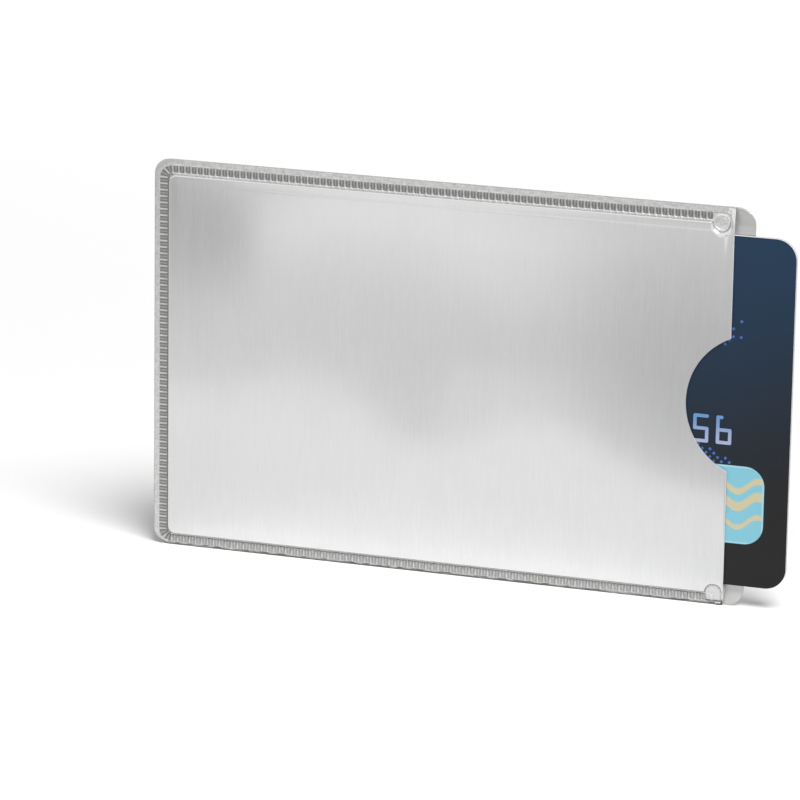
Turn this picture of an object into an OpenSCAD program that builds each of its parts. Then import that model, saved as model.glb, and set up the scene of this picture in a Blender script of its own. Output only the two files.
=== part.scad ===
// Shielding sleeve for one bank card, standing on its long bottom edge with the card partly drawn out.
// Two laminated sheets (cover film, metal foil, lining) are welded together along three sides by a
// knurled seam. The fourth side is the mouth, which has a thumb notch in front and a tab behind.
// X runs along the sleeve towards the mouth, Y through it from front to back, Z up.
// The origin is the middle of the bottom edge, halfway through the thickness.

/* [Card] */
// Length of the card
card_l = 85.6; // [80:0.1:104]
// Height of the card as it stands
card_h = 53.98; // [51:0.01:66]
// Thickness of the card
card_t = 0.76; // [0.6:0.01:1]
// Radius of the card's corners
card_r = 3.18; // [2:0.01:5]
// How far the card stands out past the front sheet's mouth edge
card_out = 9.5; // [4:0.1:20]
// Thickness of each printed overlay of the card
overlay_t = 0.08; // [0.05:0.01:0.1]
// Thickness of the inlay sheet that holds the antenna
inlay_t = 0.2; // [0.16:0.01:0.26]

/* [Sheets] */
// Thickness of the outer cover film
cover_t = 0.15; // [0.12:0.01:0.25]
// Thickness of the shielding foil
foil_t = 0.05; // [0.03:0.01:0.1]
// Thickness of the inner lining
lining_t = 0.1; // [0.06:0.01:0.2]
// How far the foil and the lining stop short of the cover film's long edges
trim = 0.1; // [0:0.05:0.3]
// Radius of the sleeve's corners at the closed end
corner_r = 2.4; // [2:0.1:3]
// Radius of the tab's corners
tab_corner_r = 2.6; // [1:0.1:3]
// How far the back sheet runs out past the front sheet's mouth edge
tab_len = 2.9; // [2.7:0.1:8]

/* [Fit of the card] */
// Clearance between each face of the card and the lining
face_clear = 0.12; // [0.08:0.01:0.4]
// Clearance between the card's bottom edge and the flat bottom of the pocket
bottom_clear = 0.3; // [0.1:0.05:2]
// Clearance between the card's top edge and the flat top of the pocket
top_clear = 0.62; // [0.3:0.01:3]
// Clearance between the card and the pocket's closed end when the card is pushed in
end_clear = 0.3; // [0.2:0.05:2]
// How far the front sheet reaches past the card when it is pushed in
mouth_over = 2.8; // [1:0.1:5]

/* [Seam] */
// Width of the plain rim above the top seam
rim_top = 1; // [0.6:0.1:2]
// Width of the plain rim beyond the closed end's seam
rim_end = 1.1; // [0.6:0.1:2]
// Width of the plain rim below the bottom seam
rim_bottom = 0.5; // [0.3:0.1:2]
// Width of the knurled band
knurl_w = 1; // [0.8:0.1:1.4]
// Outer radius of the knurled band at the corners
knurl_r = 1.9; // [1.8:0.1:2.5]
// Pitch of the knurls
knurl_pitch = 1; // [0.8:0.1:2]
// Width of one pressed cell, along the seam
cell_w = 0.6; // [0.4:0.05:0.65]
// Depth of one pressed cell
cell_depth = 0.08; // [0.03:0.01:0.1]
// Width of the flat lip between the knurled band and the pocket's shoulder
lip_w = 0.3; // [0.2:0.1:1]
// Width of the shoulder, over which the sheets part to make the pocket
shoulder_w = 1.3; // [0.8:0.1:1.8]
// Radius of the panel's corners, at the top of the shoulder
panel_r = 0.7; // [0.4:0.1:2]
// How far the seam stops short of the mouth edge
seam_stop = 1.2; // [0.8:0.1:1.5]

/* [Mouth] */
// Radius of the thumb notch
notch_r = 11.25; // [9:0.25:14]
// Depth of the thumb notch
notch_depth = 6.7; // [4:0.1:8]
// Height of the notch's centre above the middle of the sleeve
notch_rise = 0.6; // [-3:0.1:3]
// Radius of the round weld spot that ends the top seam
top_spot_r = 1.3; // [0.8:0.05:1.6]
// Distance from the mouth edge to the top weld spot's centre
top_spot_in = 2.1; // [1.7:0.1:4]
// Radius of the weld spot that ends the bottom seam
bottom_spot_r = 1.15; // [0.8:0.05:1.5]
// Distance from the mouth edge to the bottom weld spot's centre
bottom_spot_in = 1.6; // [1.6:0.1:4]
// Clearance between each weld spot and the card
spot_clear = 0.4; // [0.2:0.05:1]
// How far each face of a weld spot lies below the face of its sheet
spot_dip = 0.04; // [0.02:0.01:0.1]

/* [Chip module] */
// Distance from the card's left edge to the contact plate
chip_in = 9.7; // [9:0.1:12]
// Distance from the card's top edge to the contact plate
chip_down = 18.6; // [17:0.1:20]
// Width of the contact plate
chip_w = 10.8; // [9:0.1:13]
// Height of the contact plate
chip_h = 8.1; // [7:0.1:10]
// Radius of the contact plate's corners
chip_r = 1.5; // [0.5:0.1:2]
// Thickness of the tape that carries the contacts
carrier_t = 0.06; // [0.05:0.01:0.07]
// Thickness of the contact metal
contact_t = 0.04; // [0.03:0.01:0.05]
// Width of the gaps between the contacts
contact_gap = 0.2; // [0.15:0.01:0.3]
// Width of the middle contact, between the two columns
contact_land = 2.4; // [1.5:0.1:4]
// Number of contacts in each column
contact_rows = 3; // [2:1:4]
// Width of the resin capsule over the chip
capsule_w = 5.6; // [5:0.1:8]
// Height of the resin capsule
capsule_h = 4.8; // [4.6:0.1:6.5]
// Clearance between the resin capsule and the back core
capsule_clear = 0.02; // [0.01:0.01:0.05]

/* [Antenna] */
// Number of turns of the antenna
turns = 5; // [3:1:7]
// Distance between neighbouring turns
turn_pitch = 0.5; // [0.4:0.05:0.7]
// Width of the antenna track
track_w = 0.2; // [0.1:0.01:0.3]
// Thickness of the antenna track
track_t = 0.07; // [0.05:0.01:0.07]
// Distance from the card's edge to the outermost turn
antenna_in = 3.2; // [3:0.1:4]
// Distance of each lead from the middle of the chip module
lead_off = 1.5; // [1:0.1:2]

/* [Printing and strips] */
// Height of the digits
digit_h = 4.4; // [3:0.1:5]
// Width of the digits
digit_w = 2.4; // [1.8:0.1:2.8]
// Width of the digits' strokes
stroke_w = 0.52; // [0.3:0.01:0.6]
// Distance between neighbouring digits
digit_pitch = 3.57; // [3.2:0.01:3.7]
// Distance from the card's left edge to the first digit
digit_in = 9.9; // [9:0.1:11]
// Distance from the contact plate down to the digits
digit_drop = 1.05; // [0.5:0.05:2]
// How far the digits stand out from the card
digit_relief = 0.05; // [0.02:0.01:0.06]
// Width of the patch
patch_w = 18; // [10:0.5:24]
// Height of the patch
patch_h = 12.1; // [8:0.1:14]
// Radius of the patch's corners
patch_r = 3; // [1:0.1:4]
// Distance from the card's right edge to the patch
patch_in = 3.7; // [3:0.1:8]
// Height of the patch's lower edge above the card's bottom edge
patch_up = 6.6; // [4:0.1:8]
// Height of the magnetic stripe
stripe_h = 12.7; // [9:0.1:13]
// Distance from the card's top edge to the magnetic stripe
stripe_down = 4; // [3:0.1:6]
// Width of the signature panel
sign_w = 62; // [40:1:70]
// Height of the signature panel
sign_h = 9; // [6:0.5:11]
// Distance from the magnetic stripe to the signature panel
sign_gap = 3.3; // [2:0.1:6]
// Distance from the card's edge to the signature panel
sign_in = 4.5; // [3:0.1:10]
// Thickness of the patch, the stripe and the signature panel
strip_t = 0.03; // [0.02:0.01:0.04]

/* [Hidden] */
$fn = 64;

// Places across the sleeve, measured outwards from its middle plane
inner_half = foil_t + lining_t;                 // inside of the cover film along the seam
sheet_half = inner_half + cover_t;              // outside of the cover film along the seam
pocket_half = card_t / 2 + face_clear;          // inside of the lining over the card

// Places along and up the sleeve, measured from its closed end and its bottom edge
foot_end = rim_end + knurl_w + lip_w;
foot_top = rim_top + knurl_w + lip_w;
foot_bottom = rim_bottom + knurl_w + lip_w;
card_seated_x = foot_end + shoulder_w + end_clear;
front_len = card_seated_x + card_l + mouth_over;
back_len = front_len + tab_len;
card_x = front_len + card_out - card_l;
card_z = foot_bottom + shoulder_w + bottom_clear;
sleeve_h = card_z + card_h + top_clear + shoulder_w + foot_top;
foot_high = sleeve_h - foot_top;
foot_r = shoulder_w + panel_r;
notch_z = sleeve_h / 2 + notch_rise;
weld_end = front_len - seam_stop;
past = 1;                                       // how far cutters run past what they cut

// Weld spots: half their thickness, then their centres along and up the sleeve
spot_half = sheet_half - spot_dip;
top_spot_x = front_len - top_spot_in;
top_spot_z = card_z + card_h + spot_clear + top_spot_r;
bottom_spot_x = front_len - bottom_spot_in;
bottom_spot_z = card_z - spot_clear - bottom_spot_r;

// Card: layers, measured from its front face
core_t = (card_t - inlay_t) / 2 - overlay_t;
front_core_from = overlay_t;
inlay_from = front_core_from + core_t;
back_core_from = inlay_from + inlay_t;
back_overlay_from = back_core_from + core_t;
module_t = carrier_t + contact_t;               // the contact plate lies flush with the card's face
capsule_x = chip_in + (chip_w - capsule_w) / 2;
chip_z = card_h - chip_down - chip_h / 2;
chip_low = card_h - chip_down - chip_h;
capsule_t = back_core_from - module_t - capsule_clear;
digit_up = chip_low - digit_drop - digit_h;

// Antenna: one track in a rectangular spiral, then a lead to the chip
function run_left(i) = antenna_in + i * turn_pitch;
function run_right(i) = card_l - antenna_in - i * turn_pitch;
function run_low(i) = antenna_in + i * turn_pitch;
function run_high(i) = card_h - antenna_in - i * turn_pitch;
spiral = [
    [run_left(0), chip_z + lead_off],
    for (i = [0:turns - 1]) each [
        [run_left(i), run_high(i)],
        [run_right(i), run_high(i)],
        [run_right(i), run_low(i)],
        [run_left(i + 1), run_low(i)]
    ],
    [run_left(turns), chip_z - lead_off],
    [capsule_x, chip_z - lead_off]
];
function way(i) = (spiral[i + 1] - spiral[i]) / norm(spiral[i + 1] - spiral[i]);
function left_of(d) = [-d[1], d[0]];
function spiral_side(i, s) =
    let (last = len(spiral) - 1)
    let (before = i > 0 ? left_of(way(i - 1)) : [0, 0])
    let (after = i < last ? left_of(way(i)) : [0, 0])
    spiral[i] + s * track_w / 2 * (before + after);
spiral_outline = [
    for (i = [0:len(spiral) - 1]) spiral_side(i, 1),
    for (i = [len(spiral) - 1:-1:0]) spiral_side(i, -1)
];
bridge_to = run_left(turns) + turn_pitch;       // the outer lead crosses behind the turns up to here

// Digits: strokes between points of a grid, one wide and two high
number = [1, 2, 3, 4, 5, 6, 7, 8, 9, 0, 1, 2, 3, 4, 5, 6];
digit_group = 4;
strokes = [
    [[0, 0, 0, 2], [0, 2, 1, 2], [1, 0, 1, 2], [0, 0, 1, 0]],
    [[0.25, 2, 0.6, 2], [0.6, 0, 0.6, 2]],
    [[0, 2, 1, 2], [1, 1, 1, 2], [0, 1, 1, 1], [0, 0, 0, 1], [0, 0, 1, 0]],
    [[0, 2, 1, 2], [1, 0, 1, 2], [0.3, 1, 1, 1], [0, 0, 1, 0]],
    [[0, 1, 0, 2], [0, 1, 1, 1], [1, 0, 1, 2]],
    [[0, 2, 1, 2], [0, 1, 0, 2], [0, 1, 1, 1], [1, 0, 1, 1], [0, 0, 1, 0]],
    [[0, 2, 0.3, 2], [0, 0, 0, 2], [0, 1, 1, 1], [1, 0, 1, 1], [0, 0, 1, 0]],
    [[0, 2, 1, 2], [1, 0, 1, 2]],
    [[0, 0, 0, 2], [0, 2, 1, 2], [1, 0, 1, 2], [0, 1, 1, 1], [0, 0, 1, 0]],
    [[0, 1, 0, 2], [0, 2, 1, 2], [0, 1, 1, 1], [1, 0, 1, 2], [0.7, 0, 1, 0]]
];

// Sets what is drawn from the closed end into the frame, whose origin is the middle of the bottom edge
module in_frame() {
    translate([-back_len / 2, 0, 0]) children();
}

// Turns a front sheet into a back sheet
module behind() {
    mirror([0, 1, 0]) children();
}

// Stands a flat shape up and gives it the thickness between two distances in front of the middle plane
module slab(from, to) {
    translate([0, -from, 0]) rotate([90, 0, 0]) linear_extrude(to - from) children();
}

// Rectangle between two corners, with one radius at its left end and another at its right
module rounded_area(x0, z0, x1, z1, left_r, right_r) {
    translate([x0 + left_r, z0]) square([x1 - right_r - x0 - left_r, z1 - z0]);
    translate([x0, z0 + left_r]) square([x1 - right_r - x0, z1 - z0 - 2 * left_r]);
    for (z = [z0 + left_r, z1 - left_r]) translate([x0 + left_r, z]) circle(left_r);
    if (right_r > 0) {
        translate([x0 + left_r, z0 + right_r]) square([x1 - x0 - left_r, z1 - z0 - 2 * right_r]);
        for (z = [z0 + right_r, z1 - right_r]) translate([x1 - right_r, z]) circle(right_r);
    }
}

// Outline of one layer of a sheet, whose long edges stop short of the sleeve's by an inset
module sheet_area(length, mouth_r, inset) {
    rounded_area(0, inset, length, sleeve_h - inset, corner_r, mouth_r);
}

// Area inside the knurled band, open at the mouth
module inside_knurls_area() {
    rounded_area(rim_end + knurl_w, rim_bottom + knurl_w, back_len + past,
                 sleeve_h - rim_top - knurl_w, knurl_r - knurl_w, 0);
}

// Area inside the foot of the pocket's shoulder, open at the mouth
module foot_area() {
    rounded_area(foot_end, foot_bottom, back_len + past, foot_high, foot_r, 0);
}

// Arch from a seam to the rounded end of its weld spot
module arch_area(x, z, r, base_z) {
    translate([x, z]) circle(r);
    translate([x - r, min(z, base_z)]) square([2 * r, abs(z - base_z)]);
}

module top_spot_area() {
    arch_area(top_spot_x, top_spot_z, top_spot_r, sleeve_h - rim_top);
}

module bottom_spot_area() {
    arch_area(bottom_spot_x, bottom_spot_z, bottom_spot_r, rim_bottom);
}

// Area where the two sheets are fused, with the weld spots
module fused_area() {
    difference() {
        rounded_area(0, 0, weld_end, sleeve_h, corner_r, 0);
        inside_knurls_area();
    }
    top_spot_area();
    bottom_spot_area();
}

// Cutter for the thumb notch
module notch() {
    translate([front_len + notch_r - notch_depth, past, notch_z])
        rotate([90, 0, 0]) cylinder(r = notch_r, h = pocket_half + sheet_half + 2 * past);
}

// One layer of a sheet: flat along the seam, then up a shoulder to the panel over the card
module layer(from, thick, length) {
    high = from + pocket_half;
    bend_x = foot_end + foot_r;
    slab(from, from + thick) difference() {
        children();
        foot_area();
    }
    slab(high, high + thick)
        rounded_area(foot_end + shoulder_w, foot_bottom + shoulder_w, length,
                     foot_high - shoulder_w, panel_r, 0);
    // Shoulders along the top and the bottom
    for (side = [[foot_high, -1], [foot_bottom, 1]])
        translate([bend_x, 0, side[0]]) rotate([90, 0, 90]) linear_extrude(length - bend_x)
            polygon([[-from, 0], [-from - thick, 0],
                     [-high - thick, side[1] * shoulder_w], [-high, side[1] * shoulder_w]]);
    // Shoulder along the closed end
    translate([foot_end, 0, foot_bottom + foot_r])
        linear_extrude(foot_high - foot_bottom - 2 * foot_r)
            polygon([[0, -from], [0, -from - thick],
                     [shoulder_w, -high - thick], [shoulder_w, -high]]);
    // Shoulders round the two corners
    for (corner = [[foot_high - foot_r, 90], [foot_bottom + foot_r, 180]])
        translate([bend_x, 0, corner[0]]) rotate([90, 0, 0]) rotate([0, 0, corner[1]])
            rotate_extrude(angle = 90)
                polygon([[foot_r, from], [foot_r, from + thick],
                         [panel_r, high + thick], [panel_r, high]]);
}

// Cutters for the pressed cells of the knurled band
module cells() {
    first_x = rim_end + knurl_r;
    last_x = min(top_spot_x - top_spot_r, bottom_spot_x - bottom_spot_r);
    along = floor((last_x - first_x) / knurl_pitch);
    low_z = rim_bottom + knurl_r;
    high_z = sleeve_h - rim_top - knurl_r;
    up = floor((high_z - low_z) / knurl_pitch);
    up_pitch = (high_z - low_z) / up;
    at_y = cell_depth - sheet_half;
    in_corner = floor(90 * PI / 180 * (knurl_r - knurl_w / 2) / knurl_pitch);
    for (z = [sleeve_h - rim_top - knurl_w, rim_bottom])
        for (i = [0:along - 1])
            translate([first_x + (i + 0.5) * knurl_pitch - cell_w / 2, at_y - past, z])
                cube([cell_w, past, knurl_w]);
    for (i = [0:up - 1])
        translate([rim_end, at_y - past, low_z + (i + 0.5) * up_pitch - cell_w / 2])
            cube([knurl_w, past, cell_w]);
    for (corner = [[high_z, 1], [low_z, -1]])
        for (i = [0:in_corner - 1])
            translate([first_x, at_y - past, corner[0]])
                rotate([0, 180 + corner[1] * (i + 0.5) * 90 / in_corner, 0])
                    translate([knurl_r - knurl_w, 0, -cell_w / 2]) cube([knurl_w, past, cell_w]);
}

// A cover film: whole outline, with the pressed cells and open where the weld spots are
module cover_film(length, mouth_r) {
    difference() {
        layer(inner_half, cover_t, length) sheet_area(length, mouth_r, 0);
        cells();
        slab(0, sheet_half + pocket_half + past) {
            top_spot_area();
            bottom_spot_area();
        }
    }
}

// An inner layer: whole outline less the fused area
module inner_layer(from, thick, length, mouth_r) {
    difference() {
        layer(from, thick, length) difference() {
            sheet_area(length, mouth_r, trim);
            fused_area();
        }
        slab(-past, sheet_half + pocket_half + past) {
            top_spot_area();
            bottom_spot_area();
        }
    }
}

module front_cover_film() {
    color("silver") in_frame() difference() {
        cover_film(front_len, 0);
        notch();
    }
}

module front_shield_foil() {
    color("lightgray") in_frame() difference() {
        inner_layer(lining_t, foil_t, front_len, 0);
        notch();
    }
}

module front_lining() {
    color("gainsboro") in_frame() difference() {
        inner_layer(0, lining_t, front_len, 0);
        notch();
    }
}

module back_cover_film() {
    color("silver") in_frame() behind() cover_film(back_len, tab_corner_r);
}

module back_shield_foil() {
    color("lightgray") in_frame() behind() inner_layer(lining_t, foil_t, back_len, tab_corner_r);
}

module back_lining() {
    color("gainsboro") in_frame() behind() inner_layer(0, lining_t, back_len, tab_corner_r);
}

// The melted strip between the cover films, cut to one part of the seam
module weld_strip(x0, z0, x1, z1) {
    slab(-inner_half, inner_half) intersection() {
        difference() {
            fused_area();
            top_spot_area();
            bottom_spot_area();
        }
        translate([x0, z0]) square([x1 - x0, z1 - z0]);
    }
}

module top_weld() {
    color("darkgray") in_frame() weld_strip(foot_end, sleeve_h / 2, back_len, sleeve_h);
}

module end_weld() {
    color("darkgray") in_frame() weld_strip(0, 0, foot_end, sleeve_h);
}

module bottom_weld() {
    color("darkgray") in_frame() weld_strip(foot_end, 0, back_len, sleeve_h / 2);
}

module top_mouth_weld_spot() {
    color("darkgray") in_frame() slab(-spot_half, spot_half) top_spot_area();
}

module bottom_mouth_weld_spot() {
    color("darkgray") in_frame() slab(-spot_half, spot_half) bottom_spot_area();
}

// Sets what is drawn from the card's lower left corner and front face into the sleeve
module on_card() {
    in_frame() translate([card_x, -card_t / 2, card_z]) children();
}

// Stands a flat shape up between two depths behind the card's front face
module card_slab(from, to) {
    slab(-to, -from) children();
}

module card_area() {
    rounded_area(0, 0, card_l, card_h, card_r, card_r);
}

module chip_area() {
    rounded_area(chip_in, chip_low, chip_in + chip_w, chip_low + chip_h, chip_r, chip_r);
}

module capsule_area() {
    translate([capsule_x, chip_z - capsule_h / 2]) square([capsule_w, capsule_h]);
}

module patch_area() {
    x1 = card_l - patch_in;
    rounded_area(x1 - patch_w, patch_up, x1, patch_up + patch_h, patch_r, patch_r);
}

module stripe_area() {
    translate([0, card_h - stripe_down - stripe_h]) square([card_l, stripe_h]);
}

// The signature panel is read from behind, so it starts from the card's right edge
module sign_area() {
    z1 = card_h - stripe_down - stripe_h - sign_gap;
    translate([card_l - sign_in - sign_w, z1 - sign_h]) square([sign_w, sign_h]);
}

// The antenna, as it lies in the inlay: spiral in front, crossing strap behind, and two posts
module antenna_shape() {
    lead_z = chip_z + lead_off;
    card_slab(inlay_from, inlay_from + track_t) {
        polygon(spiral_outline);
        translate([bridge_to - track_w / 2, lead_z - track_w / 2])
            square([capsule_x - bridge_to + track_w / 2, track_w]);
    }
    card_slab(inlay_from + inlay_t - track_t, inlay_from + inlay_t)
        translate([run_left(0) - track_w / 2, lead_z - track_w / 2])
            square([bridge_to - run_left(0) + track_w, track_w]);
    card_slab(inlay_from, inlay_from + inlay_t)
        for (x = [run_left(0), bridge_to])
            translate([x - track_w / 2, lead_z - track_w / 2]) square(track_w);
}

module card_front_overlay() {
    color("midnightblue") on_card() difference() {
        card_slab(0, overlay_t) card_area();
        card_slab(-past, overlay_t + past) chip_area();
        card_slab(-past, strip_t) patch_area();
    }
}

module card_front_core() {
    color("white") on_card() difference() {
        card_slab(front_core_from, inlay_from) card_area();
        card_slab(0, module_t) chip_area();
        card_slab(0, card_t) capsule_area();
    }
}

module card_antenna_inlay() {
    color("ivory") on_card() difference() {
        card_slab(inlay_from, back_core_from) card_area();
        card_slab(0, module_t + capsule_t) capsule_area();
        antenna_shape();
    }
}

module card_antenna_coil() {
    color("peru") on_card() antenna_shape();
}

module card_back_core() {
    color("white") on_card() card_slab(back_core_from, back_overlay_from) card_area();
}

module card_back_overlay() {
    color("midnightblue") on_card() difference() {
        card_slab(back_overlay_from, card_t) card_area();
        card_slab(card_t - strip_t, card_t + past) {
            stripe_area();
            sign_area();
        }
    }
}

module card_chip_carrier() {
    color("darkkhaki") on_card() card_slab(contact_t, module_t) chip_area();
}

// A column of contacts on each side of the middle one, apart from each other
module card_chip_contacts() {
    row_h = chip_h / contact_rows;
    column_w = (chip_w - contact_land) / 2;
    color("goldenrod") on_card() difference() {
        card_slab(0, contact_t) chip_area();
        for (x = [column_w, column_w + contact_land])
            translate([chip_in + x - contact_gap / 2, -past, chip_low])
                cube([contact_gap, 2 * past, chip_h]);
        for (x = [0, column_w + contact_land])
            for (i = [1:contact_rows - 1])
                translate([chip_in + x, -past, chip_low + i * row_h - contact_gap / 2])
                    cube([column_w, 2 * past, contact_gap]);
    }
}

module card_chip_capsule() {
    color("dimgray") on_card() card_slab(module_t, module_t + capsule_t) capsule_area();
}

// One stroke of a digit, with round ends
module stroke(x0, z0, x1, z1) {
    length = [abs(x1 - x0), abs(z1 - z0)];
    size = length[0] == 0 ? [stroke_w, length[1]] : [length[0], stroke_w];
    translate([(x0 + x1) / 2, (z0 + z1) / 2]) square(size, center = true);
    for (end = [[x0, z0], [x1, z1]]) translate(end) circle(stroke_w / 2);
}

module digit(n) {
    wide = digit_w - stroke_w;
    high = (digit_h - stroke_w) / 2;
    for (s = strokes[n])
        translate([stroke_w / 2, stroke_w / 2])
            stroke(s[0] * wide, s[1] * high, s[2] * wide, s[3] * high);
}

module card_number_digits() {
    color("lightsteelblue") on_card() card_slab(-digit_relief, 0)
        for (i = [0:len(number) - 1])
            translate([digit_in + (i + floor(i / digit_group)) * digit_pitch, digit_up]) digit(number[i]);
}

module card_security_patch() {
    color("skyblue") on_card() card_slab(0, strip_t) patch_area();
}

module card_magnetic_stripe() {
    color("black") on_card() card_slab(card_t - strip_t, card_t) stripe_area();
}

module card_signature_panel() {
    color("whitesmoke") on_card() card_slab(card_t - strip_t, card_t) sign_area();
}

front_cover_film();
front_shield_foil();
front_lining();
back_cover_film();
back_shield_foil();
back_lining();
top_weld();
end_weld();
bottom_weld();
top_mouth_weld_spot();
bottom_mouth_weld_spot();
card_front_overlay();
card_front_core();
card_antenna_inlay();
card_antenna_coil();
card_back_core();
card_back_overlay();
card_chip_carrier();
card_chip_contacts();
card_chip_capsule();
card_number_digits();
card_security_patch();
card_magnetic_stripe();
card_signature_panel();
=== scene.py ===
"""Looks of a shielding sleeve and the bank card in it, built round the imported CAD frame.

The sheets are modelled lying flat, in millimetres times MM: X runs from the closed end to the mouth,
Y up the sleeve and Z outwards from its middle plane. They are stood up when they are finished.
"""

import math
from contextlib import contextmanager

import bmesh
import bpy
from mathutils import Matrix, Vector, noise


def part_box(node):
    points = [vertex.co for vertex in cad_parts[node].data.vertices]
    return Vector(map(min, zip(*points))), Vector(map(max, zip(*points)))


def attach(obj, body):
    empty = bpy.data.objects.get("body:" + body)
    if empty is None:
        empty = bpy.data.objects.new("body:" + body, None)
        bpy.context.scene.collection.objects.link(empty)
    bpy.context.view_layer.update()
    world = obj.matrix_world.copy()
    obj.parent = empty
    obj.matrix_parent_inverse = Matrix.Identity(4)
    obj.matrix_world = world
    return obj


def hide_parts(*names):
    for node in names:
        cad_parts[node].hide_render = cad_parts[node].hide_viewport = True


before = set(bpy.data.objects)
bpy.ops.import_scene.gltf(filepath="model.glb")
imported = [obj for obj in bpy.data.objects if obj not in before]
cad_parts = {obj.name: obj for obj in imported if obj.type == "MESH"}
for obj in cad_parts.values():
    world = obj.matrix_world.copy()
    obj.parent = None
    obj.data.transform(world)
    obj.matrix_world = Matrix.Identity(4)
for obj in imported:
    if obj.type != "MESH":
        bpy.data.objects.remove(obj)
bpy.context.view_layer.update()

MM = 0.001
MERGE_DISTANCE = 0.01 * MM

# The sleeve's main sizes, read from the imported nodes, in millimetres
front_low, front_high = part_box("front_cover_film")
back_low, back_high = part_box("back_cover_film")
card_low, card_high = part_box("card_back_core")
CLOSED_END = back_low.x / MM
FRONT_L = (front_high.x - front_low.x) / MM
BACK_L = (back_high.x - back_low.x) / MM
SLEEVE_H = back_high.z / MM
CARD_LEFT = (card_low.x - back_low.x) / MM
CARD_BOTTOM = card_low.z / MM
CARD_TOP = card_high.z / MM

# Layers of a sheet
COVER_T = 0.15
FOIL_T = 0.05
LINING_T = 0.1
SHEET_T = COVER_T + FOIL_T + LINING_T

# Seam
RIM_TOP = 1.0
RIM_END = 1.1
RIM_BOTTOM = 0.5
KNURL_W = 1.0
KNURL_R = 1.9
KNURL_PITCH = 1.0
LIP_W = 0.3
CORNER_R = 2.4
KNURLS_LONG = 86
KNURLS_SHORT = 56
KNURLS_CORNER = 2
KNURLS = 2 * KNURLS_LONG + 2 * KNURLS_CORNER + KNURLS_SHORT
SEAM_STRIP_T = 0.13
SEAM_STOP = 1.2

# Panel over the card
FOOT_END = RIM_END + KNURL_W + LIP_W
FOOT_TOP = SLEEVE_H - RIM_TOP - KNURL_W - LIP_W
FOOT_BOTTOM = RIM_BOTTOM + KNURL_W + LIP_W
FOOT_R = 1.3
LIP_RISE = 0.35
HIGH_LIP_RISE = 0.36
FLAT_RISE = 0.4
CARD_RISE = 0.51
TAB_CORNER_R = 2.6
MOUTH_CORNER_R = 0.3
# Radii, along and up, of each cover film's upper and lower corner at the closed end
FRONT_CORNERS = ((4.6, 3.0), (3.0, 2.4))
BACK_CORNERS = ((CORNER_R, CORNER_R),) * 2
# How far short of the long edges the front's cover film and the inner layers stop at the mouth
COVER_TRIM = 0.1
INNER_TRIM = 0.12
# Inner layers start this far inside the panel's foot
INNER_START = 0.35

# Thumb notch: a circle that cuts into the front sheet, a little above its middle
NOTCH_R = 11.25
NOTCH_DEPTH = 6.7
NOTCH_X = FRONT_L + NOTCH_R - NOTCH_DEPTH
NOTCH_Y = SLEEVE_H / 2 + 0.6

# Weld spots: centre, radius and the height where each arch ends
TOP_SPOT = (FRONT_L - 2.1, CARD_TOP + 1.7, 1.3, SLEEVE_H - RIM_TOP)
BOTTOM_SPOT = (FRONT_L - 1.6, CARD_BOTTOM - 1.55, 1.15, RIM_BOTTOM)
SPOTS = (TOP_SPOT, BOTTOM_SPOT)

# Sharpest angle, in degrees, that is shaded smooth
SMOOTH_ANGLE = 40


def within(value, span):
    return span[0] < value < span[1]


def clamp(t):
    return max(0.0, min(1.0, t))


def smooth(t):
    t = clamp(t)
    return t * t * (3 - 2 * t)


# Modelling helpers

def deselect_all():
    bpy.ops.object.select_all(action="DESELECT")


def take(piece):
    """Makes a piece the only selected one."""
    deselect_all()
    piece.select_set(True)
    bpy.context.view_layer.objects.active = piece


@contextmanager
def editing(piece):
    take(piece)
    bpy.ops.object.mode_set(mode="EDIT")
    yield
    bpy.ops.object.mode_set(mode="OBJECT")


def select_vertices(piece, test):
    """In edit mode, selects the vertices whose place, in millimetres, passes the test."""
    bm = bmesh.from_edit_mesh(piece.data)
    for v in bm.verts:
        v.select = bool(test(v.co / MM))
    bm.select_flush_mode()
    bm.select_flush(True)
    bmesh.update_edit_mesh(piece.data)


def select_faces(piece, test):
    """In edit mode, selects the faces whose middle, in millimetres, passes the test."""
    bm = bmesh.from_edit_mesh(piece.data)
    for v in bm.verts:
        v.select = False
    bm.select_flush(False)
    for f in bm.faces:
        f.select_set(bool(test(f.calc_center_median() / MM)))
    bmesh.update_edit_mesh(piece.data)


def move_vertices(piece, offset, test):
    """In edit mode, moves the vertices that pass the test."""
    select_vertices(piece, test)
    bpy.ops.transform.translate(value=[a * MM for a in offset])


def grid(name, across, up):
    """A flat grid whose lines run at the given places, in millimetres."""
    deselect_all()
    nx = len(across) - 1
    ny = len(up) - 1
    bpy.ops.mesh.primitive_grid_add(x_subdivisions=nx, y_subdivisions=ny, size=2)
    piece = bpy.context.object
    piece.name = piece.data.name = name
    for v in piece.data.vertices:
        i = round((v.co.x + 1) / 2 * nx)
        j = round((v.co.y + 1) / 2 * ny)
        v.co = (across[i] * MM, up[j] * MM, 0)
    return piece


def turn_outwards():
    """In edit mode, turns the faces of a closed piece outwards."""
    bpy.ops.mesh.select_all(action="SELECT")
    bpy.ops.mesh.normals_make_consistent(inside=False)


def thicken(piece, drop):
    """Gives an open film its thickness, straight down."""
    with editing(piece):
        bpy.ops.mesh.select_all(action="SELECT")
        bpy.ops.mesh.extrude_region_move(TRANSFORM_OT_translate={"value": (0, 0, -drop * MM)})
        turn_outwards()


def apply_modifiers(piece):
    take(piece)
    for modifier in list(piece.modifiers):
        bpy.ops.object.modifier_apply(modifier=modifier.name)


def join(pieces, name):
    take(pieces[0])
    for piece in pieces[1:]:
        piece.select_set(True)
    bpy.ops.object.join()
    whole = bpy.context.object
    whole.name = whole.data.name = name
    return whole


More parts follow.
